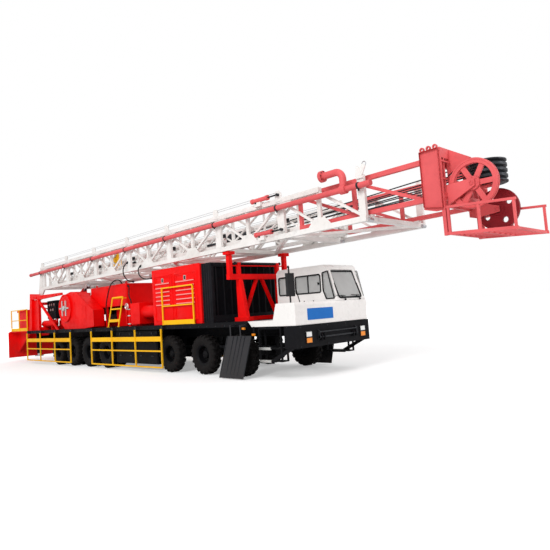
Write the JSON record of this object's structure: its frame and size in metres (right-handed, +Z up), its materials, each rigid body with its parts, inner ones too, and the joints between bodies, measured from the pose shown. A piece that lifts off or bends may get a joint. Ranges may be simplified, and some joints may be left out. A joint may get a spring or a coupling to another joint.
{
  "type": "workover rig",
  "caption": "Truck-mounted workover rig: many-axled carrier with half cab, deck machinery, drawworks and a telescoping lattice mast lowered over it",
  "frame": {"origin": "on the ground under the middle of the machine's whole length and width", "axes": "+X forward past the cab, +Y to the driver's left, +Z up"},
  "size_m": [24.2028, 3.493, 4.7548],
  "materials": {
    "black_frame": "satin",
    "tyre": "matt",
    "red_paint": "gloss",
    "mast_red": "satin",
    "dark_red": "satin",
    "mast_white": "satin",
    "cab_white": "gloss",
    "glass": "gloss",
    "yellow_paint": "satin",
    "radiator_grey": "matt",
    "dark_iron": "matt",
    "steel": "satin",
    "lamp": "gloss",
    "black_plastic": "matt"
  },
  "bodies": {
    "carrier": {"chassis_frame": "black_frame", "axles": "black_frame", "deck": "black_frame", "front_body": "cab_white", "cab_shell": "cab_white", "cab_glass": "glass", "cab_seat": "black_plastic", "bumper": "black_frame", "lamps": "lamp", "side_steps": "black_frame", "mirrors": "black_plastic", "radiator": "radiator_grey", "engine_house": "red_paint", "front_rest": "red_paint", "base_frame": "red_paint", "drawworks_case": "red_paint", "machinery_hood": "red_paint", "gearbox": "red_paint", "hanging_rails": "yellow_paint", "deck_guards": "yellow_paint", "rear_platform": "red_paint", "wheel_aprons": "black_frame", "side_tanks": "black_frame", "jack_tubes": "black_frame"},
    "door": {"cab_door": "cab_white"},
    "drum": {"drum": "dark_iron"},
    "jack_right": {"jack_leg_right": "steel"},
    "jack_left": {"jack_leg_left": "steel"},
    "lower_mast": {"mast_lower": "mast_white", "standpipe": "mast_red"},
    "upper_mast": {"mast_upper": "mast_white", "crown_frame": "mast_red", "crown_basket": "mast_red", "hoist_lines": "dark_iron", "travelling_block": "dark_iron"},
    "fast_sheave": {"fast_sheave": "mast_red"},
    "crown_cluster": {"crown_cluster": "dark_iron"},
    "sand_sheave": {"sand_sheave": "dark_red"},
    "lift_barrels": {"lift_barrels": "red_paint"},
    "lift_rods": {"lift_rods": "steel"},
    "knuckle_1_right": {"knuckle_1_right": "black_frame"},
    "knuckle_1_left": {"knuckle_1_left": "black_frame"},
    "knuckle_2_right": {"knuckle_2_right": "black_frame"},
    "knuckle_2_left": {"knuckle_2_left": "black_frame"},
    "knuckle_3_right": {"knuckle_3_right": "black_frame"},
    "knuckle_3_left": {"knuckle_3_left": "black_frame"},
    "wheel_1_right": {"wheel_1_right": "tyre"},
    "wheel_1_left": {"wheel_1_left": "tyre"},
    "wheel_2_right": {"wheel_2_right": "tyre"},
    "wheel_2_left": {"wheel_2_left": "tyre"},
    "wheel_3_right": {"wheel_3_right": "tyre"},
    "wheel_3_left": {"wheel_3_left": "tyre"},
    "wheel_4_right": {"wheel_4_right": "tyre"},
    "wheel_4_left": {"wheel_4_left": "tyre"},
    "wheel_5_right": {"wheel_5_right": "tyre"},
    "wheel_5_left": {"wheel_5_left": "tyre"},
    "wheel_6_right": {"wheel_6_right": "tyre"},
    "wheel_6_left": {"wheel_6_left": "tyre"},
    "wheel_7_right": {"wheel_7_right": "tyre"},
    "wheel_7_left": {"wheel_7_left": "tyre"}
  },
  "joints": [
    {"name": "steer_1_right", "type": "hinge", "parent": "carrier", "child": "knuckle_1_right", "pos_m": [4.886, -1.005, 0.5625], "axis": [0, 0, 1], "range_deg": [-25, 25]},
    {"name": "steer_1_left", "type": "hinge", "parent": "carrier", "child": "knuckle_1_left", "pos_m": [4.886, 1.005, 0.5625], "axis": [0, 0, 1], "range_deg": [-25, 25]},
    {"name": "steer_2_right", "type": "hinge", "parent": "carrier", "child": "knuckle_2_right", "pos_m": [3.3, -1.005, 0.5625], "axis": [0, 0, 1], "range_deg": [-20, 20]},
    {"name": "steer_2_left", "type": "hinge", "parent": "carrier", "child": "knuckle_2_left", "pos_m": [3.3, 1.005, 0.5625], "axis": [0, 0, 1], "range_deg": [-20, 20]},
    {"name": "steer_3_right", "type": "hinge", "parent": "carrier", "child": "knuckle_3_right", "pos_m": [1.61, -1.005, 0.5625], "axis": [0, 0, 1], "range_deg": [-14, 14]},
    {"name": "steer_3_left", "type": "hinge", "parent": "carrier", "child": "knuckle_3_left", "pos_m": [1.61, 1.005, 0.5625], "axis": [0, 0, 1], "range_deg": [-14, 14]},
    {"name": "roll_1_right", "type": "hinge", "parent": "knuckle_1_right", "child": "wheel_1_right", "pos_m": [4.886, -1.245, 0.5625], "axis": [0, 1, 0], "continuous": true},
    {"name": "roll_1_left", "type": "hinge", "parent": "knuckle_1_left", "child": "wheel_1_left", "pos_m": [4.886, 1.245, 0.5625], "axis": [0, 1, 0], "continuous": true},
    {"name": "roll_2_right", "type": "hinge", "parent": "knuckle_2_right", "child": "wheel_2_right", "pos_m": [3.3, -1.245, 0.5625], "axis": [0, 1, 0], "continuous": true},
    {"name": "roll_2_left", "type": "hinge", "parent": "knuckle_2_left", "child": "wheel_2_left", "pos_m": [3.3, 1.245, 0.5625], "axis": [0, 1, 0], "continuous": true},
    {"name": "roll_3_right", "type": "hinge", "parent": "knuckle_3_right", "child": "wheel_3_right", "pos_m": [1.61, -1.245, 0.5625], "axis": [0, 1, 0], "continuous": true},
    {"name": "roll_3_left", "type": "hinge", "parent": "knuckle_3_left", "child": "wheel_3_left", "pos_m": [1.61, 1.245, 0.5625], "axis": [0, 1, 0], "continuous": true},
    {"name": "roll_4_right", "type": "hinge", "parent": "carrier", "child": "wheel_4_right", "pos_m": [-2.414, -1.245, 0.5625], "axis": [0, 1, 0], "continuous": true},
    {"name": "roll_4_left", "type": "hinge", "parent": "carrier", "child": "wheel_4_left", "pos_m": [-2.414, 1.245, 0.5625], "axis": [0, 1, 0], "continuous": true},
    {"name": "roll_5_right", "type": "hinge", "parent": "carrier", "child": "wheel_5_right", "pos_m": [-3.801, -1.245, 0.5625], "axis": [0, 1, 0], "continuous": true},
    {"name": "roll_5_left", "type": "hinge", "parent": "carrier", "child": "wheel_5_left", "pos_m": [-3.801, 1.245, 0.5625], "axis": [0, 1, 0], "continuous": true},
    {"name": "roll_6_right", "type": "hinge", "parent": "carrier", "child": "wheel_6_right", "pos_m": [-5.188, -1.245, 0.5625], "axis": [0, 1, 0], "continuous": true},
    {"name": "roll_6_left", "type": "hinge", "parent": "carrier", "child": "wheel_6_left", "pos_m": [-5.188, 1.245, 0.5625], "axis": [0, 1, 0], "continuous": true},
    {"name": "roll_7_right", "type": "hinge", "parent": "carrier", "child": "wheel_7_right", "pos_m": [-6.576, -1.245, 0.5625], "axis": [0, 1, 0], "continuous": true},
    {"name": "roll_7_left", "type": "hinge", "parent": "carrier", "child": "wheel_7_left", "pos_m": [-6.576, 1.245, 0.5625], "axis": [0, 1, 0], "continuous": true},
    {"name": "door_hinge", "type": "hinge", "parent": "carrier", "child": "door", "pos_m": [6.252, 1.416, 2.1], "axis": [0, 0, -1], "range_deg": [0, 70]},
    {"name": "drum_turn", "type": "hinge", "parent": "carrier", "child": "drum", "pos_m": [-5.92, 0, 2.3], "axis": [0, 1, 0], "continuous": true},
    {"name": "jack_right_slide", "type": "slide", "parent": "carrier", "child": "jack_right", "axis": [0, 0, -1], "range_m": [0, 0.28]},
    {"name": "jack_left_slide", "type": "slide", "parent": "carrier", "child": "jack_left", "axis": [0, 0, -1], "range_m": [0, 0.28]},
    {"name": "mast_hinge", "type": "hinge", "parent": "carrier", "child": "lower_mast", "pos_m": [-8.7, 0, 2.9], "axis": [0, -1, 0], "range_deg": [0, 91.9]},
    {"name": "mast_slide", "type": "slide", "parent": "lower_mast", "child": "upper_mast", "axis": [0.9999, 0, 0.014], "range_m": [0, 13]},
    {"name": "fast_turn", "type": "hinge", "parent": "upper_mast", "child": "fast_sheave", "pos_m": [11.2736, -0.76, 3.85597], "axis": [0, 1, 0], "continuous": true},
    {"name": "cluster_turn", "type": "hinge", "parent": "upper_mast", "child": "crown_cluster", "pos_m": [11.18889, 0.13, 4.19282], "axis": [-0.014, 0, 0.9999], "continuous": true},
    {"name": "sand_turn", "type": "hinge", "parent": "upper_mast", "child": "sand_sheave", "pos_m": [11.22908, 0.39, 3.46331], "axis": [0, 1, 0], "continuous": true},
    {"name": "lift_swing", "type": "hinge", "parent": "carrier", "child": "lift_barrels", "pos_m": [-7.95, 0, 1.76], "axis": [0, -1, 0], "range_deg": [0, 75.5]},
    {"name": "lift_stroke", "type": "slide", "parent": "lift_barrels", "child": "lift_rods", "axis": [0.8769, 0, 0.4807], "range_m": [0, 1.67]}
  ],
  "couplings": [
    {"joint": "steer_1_left", "follows": "steer_1_right", "ratio": 1},
    {"joint": "steer_2_right", "follows": "steer_1_right", "ratio": 0.8},
    {"joint": "steer_2_left", "follows": "steer_1_right", "ratio": 0.8},
    {"joint": "steer_3_right", "follows": "steer_1_right", "ratio": 0.56},
    {"joint": "steer_3_left", "follows": "steer_1_right", "ratio": 0.56},
    {"joint": "lift_swing", "follows": "mast_hinge", "ratio": 0.82057},
    {"joint": "lift_stroke", "follows": "mast_hinge", "m_per_rad": 1.0352}
  ]
}
